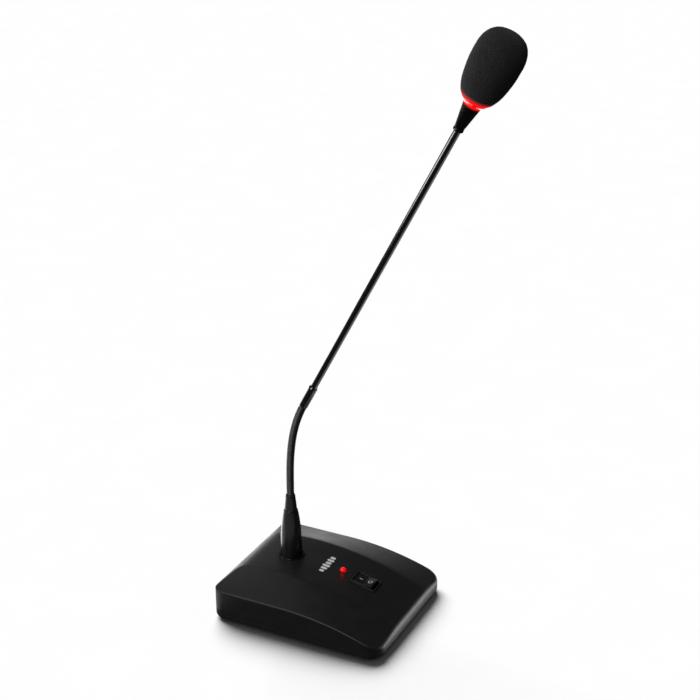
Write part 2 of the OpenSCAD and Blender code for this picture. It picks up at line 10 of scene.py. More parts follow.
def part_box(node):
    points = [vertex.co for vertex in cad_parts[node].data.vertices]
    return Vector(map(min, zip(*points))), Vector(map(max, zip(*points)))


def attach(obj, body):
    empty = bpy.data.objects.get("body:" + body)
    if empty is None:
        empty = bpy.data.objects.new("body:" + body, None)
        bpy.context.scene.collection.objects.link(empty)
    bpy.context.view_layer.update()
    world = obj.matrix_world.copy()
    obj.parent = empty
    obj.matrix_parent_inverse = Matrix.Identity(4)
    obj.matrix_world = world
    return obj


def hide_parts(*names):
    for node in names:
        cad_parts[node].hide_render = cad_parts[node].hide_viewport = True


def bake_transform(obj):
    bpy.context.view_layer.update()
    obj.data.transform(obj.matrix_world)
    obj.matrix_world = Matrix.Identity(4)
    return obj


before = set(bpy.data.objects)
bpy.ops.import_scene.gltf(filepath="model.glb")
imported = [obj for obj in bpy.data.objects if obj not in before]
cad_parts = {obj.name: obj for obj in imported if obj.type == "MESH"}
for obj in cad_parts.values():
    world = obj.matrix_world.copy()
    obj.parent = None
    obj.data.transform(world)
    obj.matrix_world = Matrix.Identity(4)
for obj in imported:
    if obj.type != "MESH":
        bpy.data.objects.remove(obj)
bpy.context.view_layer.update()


# --- Camera ---
# It looks down at the object from the left of the talker's side, through a long lens that keeps
# upright edges nearly parallel.
camera = bpy.data.objects.new("camera", bpy.data.cameras.new("camera"))
bpy.context.scene.collection.objects.link(camera)
camera.data.sensor_width = 36
camera.data.lens = 77.14
camera.data.clip_start = 0.02
camera.data.clip_end = 60
camera_place, camera_heading, camera_drop = (-0.88136, -0.45982, 0.63761), -63.43, 23.12
camera_roll = -0.0036
camera.matrix_world = (
    Matrix.Translation(camera_place)
    @ Matrix.Rotation(math.radians(camera_heading), 4, "Z")
    @ Matrix.Rotation(math.radians(90 - camera_drop), 4, "X")
    @ Matrix.Rotation(camera_roll, 4, "Z")
)
bpy.context.scene.camera = camera


# --- Bottom tray and battery door ---
# The tray is a moulding in black ABS. The door slides off its rear left corner.
# Both come from a spark-eroded mould, which leaves a fine matt grain on satin plastic.
mm = 0.001


def colour(hex_code):
    """An sRGB hex colour as the linear one that the shaders use."""
    shares = [int(hex_code[i:i + 2], 16) / 255 for i in (1, 3, 5)]
    return [c / 12.92 if c <= 0.04045 else ((c + 0.055) / 1.055) ** 2.4 for c in shares] + [1]


def cells(size_mm):
    """Texture scale that gives a pattern cells of this size, with coordinates in metres."""
    return 1000 / size_mm


def add_node(material, kind, takes=(), **settings):
    """A node with its settings. Takes pairs a socket with a value or another node's output."""
    node = material.node_tree.nodes.new("ShaderNode" + kind)
    for name, value in settings.items():
        setattr(node, name, value)
    for socket, value in dict(takes).items():
        if isinstance(value, bpy.types.NodeSocket):
            material.node_tree.links.new(value, node.inputs[socket])
        else:
            node.inputs[socket].default_value = value
    return node


def start_material(name, metallic=0, ior=1.5, specular=0.5, **more):
    """A material with its uniform values on the shader, and the coordinates of its piece."""
    material = bpy.data.materials.new(name)
    material.use_nodes = True
    shader = material.node_tree.nodes["Principled BSDF"]
    shader.inputs["Metallic"].default_value = metallic
    shader.inputs["IOR"].default_value = ior
    shader.inputs["Specular IOR Level"].default_value = specular
    for socket, value in more.items():
        shader.inputs[socket.replace("_", " ")].default_value = value
    place = add_node(material, "TexCoord").outputs["Object"]
    return material, shader, place


def feed(material, shader, socket, value):
    """Links another node's output to one of the shader's sockets."""
    material.node_tree.links.new(value, shader.inputs[socket])


def mottle(material, shader, place, dark, light, size_mm, rough, contrast=0.5):
    """Colour and roughness that drift between two values over patches of this size."""
    patches = add_node(material, "TexNoise", {"Vector": place, "Scale": cells(size_mm),
                                              "Detail": 4, "Roughness": 0.6})
    drift = add_node(material, "MapRange", {"Value": patches.outputs["Fac"],
                                            "From Min": 0.5 - contrast / 2,
                                            "From Max": 0.5 + contrast / 2})
    shade = add_node(material, "Mix", {0: drift.outputs[0], 6: colour(dark), 7: colour(light)},
                     data_type="RGBA")
    gloss = add_node(material, "MapRange", {"Value": drift.outputs[0],
                                            "To Min": rough[0], "To Max": rough[1]})
    feed(material, shader, "Base Color", shade.outputs[2])
    feed(material, shader, "Roughness", gloss.outputs[0])
    return shade


def grain(material, shader, place, size_mm, depth_mm, strength=1.0, detail=3):
    """Fine moulded, blasted or sprayed texture, as bump."""
    grit = add_node(material, "TexNoise", {"Vector": place, "Scale": cells(size_mm),
                                           "Detail": detail, "Roughness": 0.65})
    bump = add_node(material, "Bump", {"Height": grit.outputs["Fac"], "Strength": strength,
                                       "Distance": depth_mm * mm})
    feed(material, shader, "Normal", bump.outputs["Normal"])
    return bump


def moulded_abs(name, dark, light, rough):
    """Black ABS with a spark-eroded grain: satin, slightly uneven, highlights broken up."""
    material, shader, place = start_material(name, ior=1.53, specular=0.42)
    mottle(material, shader, place, dark, light, 9, rough)
    # Real grain is near 0.15 mm: it is drawn at 0.45 mm so that it shows.
    grain(material, shader, place, 0.45, 0.035, 0.55)
    return material


def dress(nodes, material):
    """Gives CAD nodes a material in place of their plain colour."""
    for node in nodes:
        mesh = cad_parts[node].data
        mesh.materials.clear()
        mesh.materials.append(material)


tray_abs = moulded_abs("moulded ABS, tray", "#151516", "#1b1b1d", (0.46, 0.56))
dress(["bottom_tray", "battery_door"], tray_abs)


# --- Anti-slip pad ---
# A die-cut sheet of black rubber, glued under the tray so that the base doesn't slide. It is
# matt, with the faint grain of the rolls that pressed it.
rubber, shader, place = start_material("EPDM rubber, calendered", ior=1.52, specular=0.3)
mottle(rubber, shader, place, "#101010", "#181817", 14, (0.78, 0.9))
grain(rubber, shader, place, 0.7, 0.05, 0.6)
dress(["rubber_pad"], rubber)


# --- Case screws, washer and nut of the stem ---
# Steel screws close the case and hold the ballast and the board. Like the stem's washer and nut
# they have bright zinc plating, a cool grey metal with cloudy gloss.
zinc, shader, place = start_material("zinc-plated steel", metallic=1)
mottle(zinc, shader, place, "#8e9298", "#b4b8bd", 1.8, (0.26, 0.42))
grain(zinc, shader, place, 0.25, 0.01, 0.3)
dress(["case_screws", "ballast_screws", "board_screws", "stem_washer", "stem_nut"], zinc)


# --- Ballast plate ---
# Hot-rolled steel strip, sheared to length and screwed to the tray so that the base can't tip.
# It keeps its dark mill scale, with streaks along the rolling.
ballast_steel, shader, place = start_material("hot-rolled steel", metallic=1)
mottle(ballast_steel, shader, place, "#3a3b3e", "#5b5c60", 6, (0.48, 0.68))
streaks = add_node(ballast_steel, "Mapping", {"Vector": place, "Scale": (1, 14, 14)})
grain(ballast_steel, shader, streaks.outputs["Vector"], 7, 0.03, 0.5)
dress(["ballast_plate"], ballast_steel)


# --- Circuit board and its parts ---
# The board in the base carries the amplifier, and a small one in the head carries the ring's
# lamps. Both are glass-fibre laminate under a green lacquer, with the weave faintly showing.
laminate, shader, place = start_material("glass-epoxy laminate", ior=1.55, Coat_Weight=0.6,
                                         Coat_Roughness=0.18)
mottle(laminate, shader, place, "#0b3a1c", "#125229", 5, (0.35, 0.45))


def bands(size_mm):
    """Wave texture scale that gives light and dark bands of about this width each."""
    bands_per_unit = 6.3
    return cells(size_mm) / bands_per_unit


weave = add_node(laminate, "TexWave", {"Vector": place, "Scale": bands(1.0),
                                       "Distortion": 0.4}, bands_direction="X")
threads = add_node(laminate, "Bump", {"Height": weave.outputs["Fac"], "Strength": 0.3,
                                      "Distance": 0.01 * mm})
feed(laminate, shader, "Normal", threads.outputs["Normal"])
dress(["circuit_board", "ring_board"], laminate)

# The amplifier chip is moulded in black epoxy filled with glass powder: matt and gritty.
epoxy, shader, place = start_material("moulded epoxy", ior=1.55)
mottle(epoxy, shader, place, "#141414", "#1f1e1e", 2, (0.55, 0.7))
grain(epoxy, shader, place, 0.2, 0.02, 0.5)
dress(["preamp_chip"], epoxy)

# The capacitors wear shrunk PVC sleeves: a glossy dark blue film.
sleeve_pvc, shader, place = start_material("shrunk PVC sleeve", ior=1.53)
mottle(sleeve_pvc, shader, place, "#16204c", "#1d2a60", 4, (0.22, 0.32))
grain(sleeve_pvc, shader, place, 2.2, 0.03, 0.4)
dress(["capacitors"], sleeve_pvc)

# The output transformer is a stack of varnished laminations: fine lines along the core.
varnished_core, shader, place = start_material("varnished laminations", ior=1.5, metallic=0.4)
mottle(varnished_core, shader, place, "#6b5f3a", "#8a7c50", 3, (0.4, 0.55))
stack = add_node(varnished_core, "TexWave", {"Vector": place, "Scale": bands(0.5)},
                 bands_direction="Y")
edges = add_node(varnished_core, "Bump", {"Height": stack.outputs["Fac"], "Strength": 0.6,
                                          "Distance": 0.05 * mm})
feed(varnished_core, shader, "Normal", edges.outputs["Normal"])
dress(["output_transformer"], varnished_core)


# --- Cells and their contacts ---
# Two cells in printed steel jackets lie in the tray's bay. Springs and tabs of nickelled steel
# hold them and carry the current.
jacket, shader, place = start_material("printed steel jacket", ior=1.5, metallic=0.6)
mottle(jacket, shader, place, "#9c7f2e", "#b89a45", 12, (0.28, 0.38))
grain(jacket, shader, place, 1.5, 0.01, 0.3)
dress(["battery_cells"], jacket)

nickel, shader, place = start_material("nickel plate", metallic=1)
mottle(nickel, shader, place, "#a9a7a0", "#c6c4bc", 2.5, (0.2, 0.34))
grain(nickel, shader, place, 0.3, 0.01, 0.3)
dress(["battery_contacts"], nickel)


# --- Output jack and its nut ---
# The socket at the rear is moulded in glass-filled nylon, dull and slightly mottled. A hexagon
# nut of turned brass under nickel plate clamps it to the cover's wall.
nylon, shader, place = start_material("glass-filled nylon", ior=1.53, specular=0.4)
mottle(nylon, shader, place, "#131313", "#1c1c1d", 3, (0.42, 0.55))
grain(nylon, shader, place, 0.3, 0.03, 0.5)
dress(["output_jack", "light_holder", "capsule_mount"], nylon)


def mesh_object(name, points, faces, material, smooth=35):
    """A mesh piece from points in metres. Edges sharper than the smooth angle stay crisp."""
    mesh = bpy.data.meshes.new(name)
    mesh.from_pydata([tuple(p) for p in points], [], faces)
    mesh.validate()
    mesh.materials.append(material)
    tidy = bmesh.new()
    tidy.from_mesh(mesh)
    bmesh.ops.recalc_face_normals(tidy, faces=tidy.faces)
    tidy.to_mesh(mesh)
    tidy.free()
    mesh.shade_smooth()
    mesh.set_sharp_from_angle(angle=math.radians(smooth))
    piece = bpy.data.objects.new(name, mesh)
    bpy.context.scene.collection.objects.link(piece)
    return piece


def lofted(rings, start=True, end=True):
    """Points and faces of a skin over closed rings of equal length, with caps if asked."""
    count = len(rings[0])
    points = [p for ring in rings for p in ring]
    faces = []
    for i in range(len(rings) - 1):
        a, b = i * count, (i + 1) * count
        faces += [(a + k, a + (k + 1) % count, b + (k + 1) % count, b + k) for k in range(count)]
    if start:
        faces.append(tuple(range(count))[::-1])
    if end:
        faces.append(tuple(range(len(points) - count, len(points))))
    return points, faces


def softened(outline, radius, steps=4):
    """An outline in (radius, height) with each corner rounded, and its long runs kept flat."""
    least_turn, most_of_run = 0.05, 0.45
    made = [outline[0]]
    for before, corner, after in zip(outline, outline[1:], outline[2:]):
        a, c, b = Vector(before), Vector(corner), Vector(after)
        u, v = (a - c), (b - c)
        if u.length < 1e-6 or v.length < 1e-6:
            continue
        turn = math.pi - u.angle(v)
        if turn < least_turn:
            made.append(corner)
            continue
        room_u, room_v = most_of_run * u.length, most_of_run * v.length
        reach = min(radius * math.tan(turn / 2), room_u, room_v)
        p, q = c + u.normalized() * reach, c + v.normalized() * reach
        if room_u > 1.6 * reach:
            made.append(tuple(p + u.normalized() * reach * 0.5))
        for i in range(steps + 1):
            t = i / steps
            made.append(tuple(p * (1 - t) ** 2 + c * 2 * t * (1 - t) + q * t ** 2))
        if room_v > 1.6 * reach:
            made.append(tuple(q + v.normalized() * reach * 0.5))
    return made + [outline[-1]]


def turned(name, outline, material, place=Matrix(), sides=72, closed=True):
    """A turned piece: an outline in (radius, height) millimetres spun about Z, then placed."""
    rings = []
    for r, z in outline:
        spin = [2 * math.pi * k / sides for k in range(sides)]
        rings.append([place @ (Vector((r * math.cos(a), r * math.sin(a), z)) * mm) for a in spin])
    if closed:
        rings.append(rings[0])
    points, faces = lofted(rings, start=False, end=False)
    piece = mesh_object(name, points, faces, material, smooth=50)
    tidy = bmesh.new()
    tidy.from_mesh(piece.data)
    bmesh.ops.remove_doubles(tidy, verts=tidy.verts, dist=1e-7)
    bmesh.ops.recalc_face_normals(tidy, faces=tidy.faces)
    tidy.to_mesh(piece.data)
    tidy.free()
    return piece


def finish_piece(piece, body, slot, *nodes):
    """Rides on its body and stands for its CAD nodes. The slot is not used."""
    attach(piece, body)
    if nodes:
        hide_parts(*nodes)


# The nut's corners are chamfered as on turned hexagon bar.
low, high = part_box("jack_nut")
nut_centre = (low + high) / 2
nut_corner_r, nut_bore_r, nut_sides = 6.8, 5, 72
nut_outline = [(4.55, 0.1), (6.2, 0.02), (6.75, 0.35), (6.75, 1.75), (6.3, 2.2), (5.2, 2.2),
               (4.7, 1.9)]
nut_rings = []
for radius, y in nut_outline:
    ring = []
    for k in range(nut_sides):
        a = 2 * math.pi * k / nut_sides
        flat_share = math.cos(math.pi / 6) / math.cos((a % (math.pi / 3)) - math.pi / 6)
        r = radius if radius < nut_bore_r else min(radius, nut_corner_r * flat_share)
        ring.append(Vector((nut_centre.x + r * math.cos(a) * mm, low.y + y * mm,
                            nut_centre.z + r * math.sin(a) * mm)))
    nut_rings.append(ring)
points, faces = lofted(nut_rings + [nut_rings[0]], start=False, end=False)
nut = mesh_object("jack_nut_turned", points, faces, nickel)
finish_piece(nut, "base", "nickel", "jack_nut")


# --- Top cover ---
# The cover is one moulding in black ABS: a centre panel that arches from front to rear and
# rolls over at the back, and two facets that fall from it to the side walls.
base_half_wid, base_half_len = 58.7, 70.0
front_corner, rear_corner = 12.0, 9.0
edge_height, parting, wall = 25.6, 7.6, 2.4
edge_fall_y, edge_fall_r = 10, 220
crown_y, crown_z, arch_r = 26.8, 35.6, 232.0
arch_z = crown_z - arch_r
roll_start, roll_y, roll_z, roll_r = 54.4, 51.54, 10.12, 24.0
panel_half = 27.4
crease_share, brow_round = 0.025, 0.7

# The core of the cover's mesh reaches to the centres of the four round corners.
core_front, core_rear = front_corner - base_half_len, base_half_len - rear_corner
core_front_half, core_rear_half = base_half_wid - front_corner, base_half_wid - rear_corner
corner_steps = 10


def soft_min(a, b, width):
    """The lower of two heights, rounded where they cross."""
    h = min(max(0.5 + 0.5 * (b - a) / width, 0), 1)
    return b * (1 - h) + a * h - width * h * (1 - h)


def arch_height(y):
    """Height of the centre panel at a distance along the base, in millimetres."""
    return arch_z + math.sqrt(arch_r ** 2 - (y - crown_y) ** 2)


def cover_height(x, y):
    """Height of the top at a place on the plan, in millimetres."""
    side = edge_height
    if y < edge_fall_y:
        side -= edge_fall_r - math.sqrt(edge_fall_r ** 2 - (edge_fall_y - y) ** 2)
    share = (base_half_wid - abs(x)) / (base_half_wid - panel_half)
    facet = side + soft_min(1, share, crease_share) * (arch_height(y) - side)
    rolled = arch_height(y)
    if y > roll_start:
        rolled = roll_z + math.sqrt(max(roll_r ** 2 - (y - roll_y) ** 2, 0))
    return soft_min(facet, rolled, brow_round)


def cover_columns(y_share):
    """Places across the core of the cover, closest together at the panel's two edges."""
    end = core_front_half + (core_rear_half - core_front_half) * y_share
    half = [0, 4, 8, 12, 16, 20]
    half += [panel_half + x for x in (-3.9, -1.9, -1, -0.4, 0, 0.4, 1, 1.9, 3.6, 6.6, 10.6)]
    half += [half[-1] + (end - half[-1]) * i / 4 for i in range(1, 5)]
    return [-x for x in half[:0:-1]] + half


core_rows = [i / 70 for i in range(71)]
columns = len(cover_columns(0))


def core_place(i, j):
    """Place on the plan of one point of the core, by its column and row."""
    share = core_rows[j]
    return cover_columns(share)[i], core_front + (core_rear - core_front) * share


def round_the_plan(inset):
    """Stations round the edge: place, way in, nearest place of the core, and edge radius."""
    wid, length = base_half_wid - inset, base_half_len - inset
    rows = len(core_rows)
    stations = []
    for i in range(columns):
        x, _ = core_place(i, 0)
        stations.append(((x, -length), (0, 1), (i, 0), 1))
    corners = (
        ((core_front_half, core_front), -90, front_corner, (columns - 1, 0), (1, 0)),
        ((core_rear_half, core_rear), 0, rear_corner, (columns - 1, rows - 1), (0, 0)),
        ((-core_rear_half, core_rear), 90, rear_corner, (0, rows - 1), (0, 0)),
        ((-core_front_half, core_front), 180, front_corner, (0, 0), (0, 1)),
    )
    for number, (centre, start, radius, core, front_share) in enumerate(corners):
        for step in range(1, corner_steps):
            a = math.radians(start + 90 * step / corner_steps)
            r = radius - inset
            share = front_share[0] + (front_share[1] - front_share[0]) * step / corner_steps
            stations.append(((centre[0] + r * math.cos(a), centre[1] + r * math.sin(a)),
                             (-math.cos(a), -math.sin(a)), core, share))
        if number == 0:
            stations += [((wid, core_place(columns - 1, j)[1]), (-1, 0), (columns - 1, j), 0)
                         for j in range(rows)]
        if number == 1:
            stations += [((core_place(i, rows - 1)[0], length), (0, -1), (i, rows - 1), 0)
                         for i in range(columns - 1, -1, -1)]
        if number == 2:
            stations += [((-wid, core_place(0, j)[1]), (1, 0), (0, j), 0)
                         for j in range(rows - 1, -1, -1)]
    return stations


def cover_skin(inset, drop, side_round, front_round):
    """One skin of the cover as points and faces, from its lower rim up to the core."""
    stations = round_the_plan(inset)
    count = len(stations)
    rim_round = 0.3
    wall_start = parting + rim_round
    rings = []
    for inward, z in ((rim_round, parting), (0.06, parting + 0.08), (0, wall_start)):
        rings.append([(x + nx * inward, y + ny * inward, z)
                      for (x, y), (nx, ny), _, _ in stations])
    for share in (0.05, 0.5, 0.95):
        ring = []
        for (x, y), _, _, f in stations:
            r = side_round + (front_round - side_round) * f
            top = cover_height(x, y) - drop - r
            ring.append((x, y, wall_start + (top - wall_start) * share))
        rings.append(ring)
    for turn in (0, 15, 30, 45, 60, 75, 90):
        a = math.radians(turn)
        ring = []
        for (x, y), (nx, ny), _, f in stations:
            r = side_round + (front_round - side_round) * f
            px, py = x + nx * r * (1 - math.cos(a)), y + ny * r * (1 - math.cos(a))
            ring.append((px, py, cover_height(px, py) - drop - r * (1 - math.sin(a))))
        rings.append(ring)
    for share in (0.06, 0.2, 0.4, 0.6, 0.8):
        ring = []
        for (x, y), (nx, ny), core, f in stations:
            r = side_round + (front_round - side_round) * f
            cx, cy = core_place(*core)
            px = (x + nx * r) * (1 - share) + cx * share
            py = (y + ny * r) * (1 - share) + cy * share
            ring.append((px, py, cover_height(px, py) - drop))
        rings.append(ring)
    points, faces = lofted(rings, start=False, end=False)
    last = len(points) - count
    first_core = len(points)
    for j in range(len(core_rows)):
        for i in range(columns):
            x, y = core_place(i, j)
            points.append((x, y, cover_height(x, y) - drop))

    def core_index(core):
        """Number of the point at a column and row of the core."""
        return first_core + core[1] * columns + core[0]

    for k in range(count):
        a, b = core_index(stations[k][2]), core_index(stations[(k + 1) % count][2])
        face = (last + k, last + (k + 1) % count, b, a)
        faces.append(face if a != b else face[:3])
    for j in range(len(core_rows) - 1):
        for i in range(columns - 1):
            a = first_core + j * columns + i
            faces.append((a, a + 1, a + columns + 1, a + columns))
    return points, faces, count


def at_panel(y):
    """Placement square to the centre panel at a distance along it."""
    return (Matrix.Translation(Vector((0, crown_y, arch_z)) * mm)
            @ Matrix.Rotation(math.asin((crown_y - y) / arch_r), 4, "X")
            @ Matrix.Translation(Vector((0, 0, arch_r)) * mm))


outer_points, outer_faces, rim = cover_skin(0, 0, 0.9, 2.4)
inner_points, inner_faces, _ = cover_skin(wall, wall, 0.4, 0.8)
shift = len(outer_points)
points = [Vector(p) * mm for p in outer_points + inner_points]
faces = outer_faces + [tuple(i + shift for i in face)[::-1] for face in inner_faces]
faces += [(k, k + shift, (k + 1) % rim + shift, (k + 1) % rim) for k in range(rim)]
cover_abs = moulded_abs("moulded ABS, cover", "#161617", "#1c1c1e", (0.40, 0.50))
cover = mesh_object("cover_shell", points, faces, cover_abs)


def cut_with(piece, points, faces):
    """Takes a solid away from a piece, as the mould's core does."""
    tool = mesh_object("cutter", points, faces, piece.data.materials[0])
    cut = piece.modifiers.new("cut", "BOOLEAN")
    cut.operation = "DIFFERENCE"
    cut.solver = "EXACT"
    cut.object = tool
    bpy.context.view_layer.update()
    shown = piece.evaluated_get(bpy.context.evaluated_depsgraph_get())
    made = bpy.data.meshes.new_from_object(shown)
    piece.modifiers.clear()
    piece.data = made
    bpy.data.objects.remove(tool)


def round_rect(half_x, half_y, radius, z, place=Matrix(), steps=5):
    """A closed ring of points round a rectangle with round corners."""
    ring = []
    for sx, sy, start in ((1, 1, 0), (-1, 1, 90), (-1, -1, 180), (1, -1, 270)):
        for step in range(steps + 1):
            a = math.radians(start + 90 * step / steps)
            ring.append(place @ (Vector((sx * (half_x - radius) + radius * math.cos(a),
                                         sy * (half_y - radius) + radius * math.sin(a), z)) * mm))
    return ring


def disc(radius, z, place, sides=72):
    """A closed ring of points round a circle."""
    spin = [2 * math.pi * k / sides for k in range(sides)]
    return [place @ (Vector((radius * math.cos(a), radius * math.sin(a), z)) * mm) for a in spin]


switch_place = at_panel(-32)
light_place = at_panel(-12.4)
stem_y = 32.2
flange_seat = arch_height(stem_y) - 0.6
stem_place = Matrix.Translation(Vector((0, stem_y, 0)) * mm)
jack_place = (Matrix.Translation(Vector((27, base_half_len, 15.6)) * mm)
              @ Matrix.Rotation(-math.pi / 2, 4, "X"))

# A shallow pocket for the switch's frame, and a way through for its body.
for half_x, half_y, corner, bottom in ((8.0, 11.0, 0.8, -1.1), (6.6, 9.6, 0.4, -12)):
    cut_with(cover, *lofted([round_rect(half_x, half_y, corner, z, switch_place)
                             for z in (bottom, 8)]))

# Round holes for the light, the stem's bush, the flange's seat and the jack.
for radius, bottom, top, place in ((3.1, -9, 9, light_place), (5.1, 25, 45, stem_place),
                                   (10.4, flange_seat, 45, stem_place), (4.6, -9, 9, jack_place)):
    cut_with(cover, *lofted([disc(radius, z, place) for z in (bottom, top)]))

# Six posts inside the cover take the case screws. They end half way into the cover's wall.
post_r, post_bore_r, post_foot, post_sink = 3.4, 1.3, 9.7, 1.2
posts = []
for x in (-49, 49):
    for y in (-47, 4, 55):
        far_x, far_y = x * 1.07, y + (post_r if y > 0 else -post_r)
        top = min(cover_height(far_x, far_y), cover_height(x, y)) - post_sink
        place = Matrix.Translation(Vector((x, y, 0)) * mm)
        outline = [(post_bore_r, post_foot), (post_r, post_foot), (post_r, top),
                   (post_bore_r, top)]
        posts.append(turned("post", outline, cover_abs, place, sides=32))
bpy.context.view_layer.update()
with bpy.context.temp_override(active_object=cover, selected_editable_objects=[cover, *posts]):
    bpy.ops.object.join()
cover.data.shade_smooth()
cover.data.set_sharp_from_angle(angle=math.radians(32))
finish_piece(cover, "base", "cover_abs", "top_cover")


# --- Printed mark ---
# A row of short bars, pad-printed in white ink on the panel between the stem and the light.
# The ink is dull, and stands a little above the plastic.
ink, shader, place = start_material("pad-printing ink", ior=1.5, specular=0.3)
mottle(ink, shader, place, "#f2f2f2", "#fafafa", 2, (0.5, 0.62))
grain(ink, shader, place, 0.3, 0.01, 0.4)
bar_lengths = (4.0, 5.2, 6.2, 4.8, 5.8, 4.4)
bar_end_r, bar_pitch, first_bar_x, mark_y = 1.4, 3.9, -9.5, 1.1
ink_thick, ink_lift, end_steps = 0.03, 0.004, 8
bar_sides = 2 * (end_steps + 1)
mark_points, mark_faces = [], []
for number, bar_length in enumerate(bar_lengths):
    bar_x = first_bar_x + number * bar_pitch
    for z in (0.0, ink_thick):
        for end, start in ((1, 0), (-1, 180)):
            for step in range(end_steps + 1):
                a = math.radians(start + 180 * step / end_steps)
                x = bar_x + bar_end_r * math.cos(a)
                y = mark_y + end * (bar_length / 2 - bar_end_r) + bar_end_r * math.sin(a)
                mark_points.append(Vector((x, y, arch_height(y) + z + ink_lift)) * mm)
    first = number * 2 * bar_sides
    top = first + bar_sides
    mark_faces.append(tuple(range(top, top + bar_sides)))
    mark_faces.append(tuple(range(first + bar_sides - 1, first - 1, -1)))
    mark_faces += [(first + k, first + (k + 1) % bar_sides, top + (k + 1) % bar_sides, top + k)
                   for k in range(bar_sides)]
mark = mesh_object("printed_mark", mark_points, mark_faces, ink)
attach(mark, "base")


# --- Rocker switch ---
# A small panel switch in black nylon, a little glossier than the cover. Its frame snaps into the
# cover's pocket, the terminals below are stamped brass, and the rocker's marks are printed.
switch_nylon, shader, place = start_material("moulded nylon 66, switch", ior=1.53, specular=0.4)
mottle(switch_nylon, shader, place, "#121213", "#19191a", 4, (0.34, 0.46))
grain(switch_nylon, shader, place, 0.4, 0.02, 0.5)
frame_profile = (  # half width, half length, corner radius, height
    (6.5, 9.5, 0.5, -12.5), (6.5, 9.5, 0.5, -1.15), (7.35, 10.35, 0.8, -1.1),
    (7.5, 10.5, 0.9, -0.95), (7.5, 10.5, 0.9, 0.1), (7.42, 10.42, 0.85, 0.32),
    (7.25, 10.25, 0.8, 0.45), (7.0, 10.0, 0.7, 0.5), (6.2, 9.3, 0.6, 0.5),
    (5.98, 9.08, 0.5, 0.46), (5.85, 8.95, 0.5, 0.32), (5.8, 8.9, 0.45, 0.1),
    (5.8, 8.9, 0.45, -8.5),
)
points, faces = lofted([round_rect(*level, switch_place) for level in frame_profile])
switch_frame = mesh_object("switch_frame", points, faces, switch_nylon)
finish_piece(switch_frame, "base", "switch_nylon", "switch_housing")

brass, shader, place = start_material("stamped brass", metallic=1)
mottle(brass, shader, place, "#a98a3f", "#c8a95c", 2.5, (0.25, 0.4))
grain(brass, shader, place, 0.4, 0.01, 0.3)
dress(["switch_terminals"], brass)

rocker_half_wid, rocker_half_len, rocker_waist, valley = 5.5, 7.9, 3.2, 0.6
rocker_lean, pivot_depth, edge_round = math.radians(9), 3, 0.32
rise = math.tan(rocker_lean)
rocker_place = (switch_place @ Matrix.Translation((0, 0, -pivot_depth * mm))
                @ Matrix.Rotation(-rocker_lean, 4, "X"))


def rocker_height(y):
    """Height of the rocker's top over its pivot: two slopes that meet in a soft valley."""
    return rocker_waist + rise * math.sqrt(y * y + valley * valley)


top_places = [rocker_half_len * (2 * i / 24 - 1) for i in range(25)]
profile = [(y, rocker_height(y)) for y in top_places]
profile += [(6.9, -0.6), (3.4, -3.6), (-3.4, -3.6), (-6.9, -0.6)]
solid = bmesh.new()
sides = []
for x in (-rocker_half_wid, rocker_half_wid):
    sides.append([solid.verts.new(rocker_place @ (Vector((x, y, z)) * mm)) for y, z in profile])
solid.faces.new(sides[0])
solid.faces.new(sides[1][::-1])
for k in range(len(profile)):
    n = (k + 1) % len(profile)
    solid.faces.new((sides[0][k], sides[1][k], sides[1][n], sides[0][n]))
bmesh.ops.recalc_face_normals(solid, faces=solid.faces)
solid.edges.ensure_lookup_table()
crisp = [e for e in solid.edges if e.calc_face_angle(0) > math.radians(30)]
bmesh.ops.bevel(solid, geom=crisp, offset=edge_round * mm, segments=3, profile=0.5,
                affect="EDGES", clamp_overlap=True)
mesh = bpy.data.meshes.new("rocker_cap")
solid.to_mesh(mesh)
solid.free()
mesh.materials.append(switch_nylon)
mesh.shade_smooth()
mesh.set_sharp_from_angle(angle=math.radians(40))
rocker = bpy.data.objects.new("rocker_cap", mesh)
bpy.context.scene.collection.objects.link(rocker)
finish_piece(rocker, "rocker", "rocker_nylon", "switch_rocker")


def on_rocker(y):
    """Placement on the rocker's top, just above its surface and square to its slope."""
    slope = math.atan(rise * y / math.sqrt(y * y + valley * valley))
    return (rocker_place @ Matrix.Translation(Vector((0, y, rocker_height(y) + 0.01)) * mm)
            @ Matrix.Rotation(slope, 4, "X"))


points, faces = lofted([round_rect(0.28, 1.35, 0.2, z, on_rocker(3.6)) for z in (0, ink_thick)])
on_mark = mesh_object("rocker_mark_on", points, faces, ink)
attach(on_mark, "rocker")
off_inner, off_outer = 1.32, 1.78
ring = [(off_inner, 0), (off_inner, ink_thick), (off_outer, ink_thick), (off_outer, 0)]
off_mark = turned("rocker_mark_off", ring, ink, on_rocker(-4.0), sides=48)
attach(off_mark, "rocker")


# --- Power light ---
# A 5 mm lamp cast in red epoxy, lit from inside, in a nylon holder flush with the panel. A tiny
# red light just above it gives the glow that it throws on the plastic round it.
red_epoxy, shader, place = start_material("cast red epoxy", ior=1.54, Emission_Strength=0.62,
                                          Emission_Color=colour("#ff0000"))
mottle(red_epoxy, shader, place, "#8c0202", "#a00404", 2, (0.12, 0.2))
grain(red_epoxy, shader, place, 1.2, 0.01, 0.2)
lens_r, dome_base = 2.48, 0.2
dome = [(0.0, -4.9), (2.9, -4.9), (2.9, -4.0), (lens_r, -4.0), (lens_r, dome_base)]
dome += [(lens_r * math.cos(math.radians(a)), dome_base + lens_r * math.sin(math.radians(a)))
         for a in range(9, 90, 9)]
dome += [(0.0, dome_base + lens_r)]
lens = turned("power_light_lens", dome, red_epoxy, light_place, sides=48)
finish_piece(lens, "base", "lamp_red", "power_light")
glow = bpy.data.lights.new("power_light_glow", "POINT")
glow.energy, glow.color = 0.00025, (1.0, 0.01, 0.005)
glow.shadow_soft_size = 0.5 * mm
glow_place = bpy.data.objects.new("power_light_glow", glow)
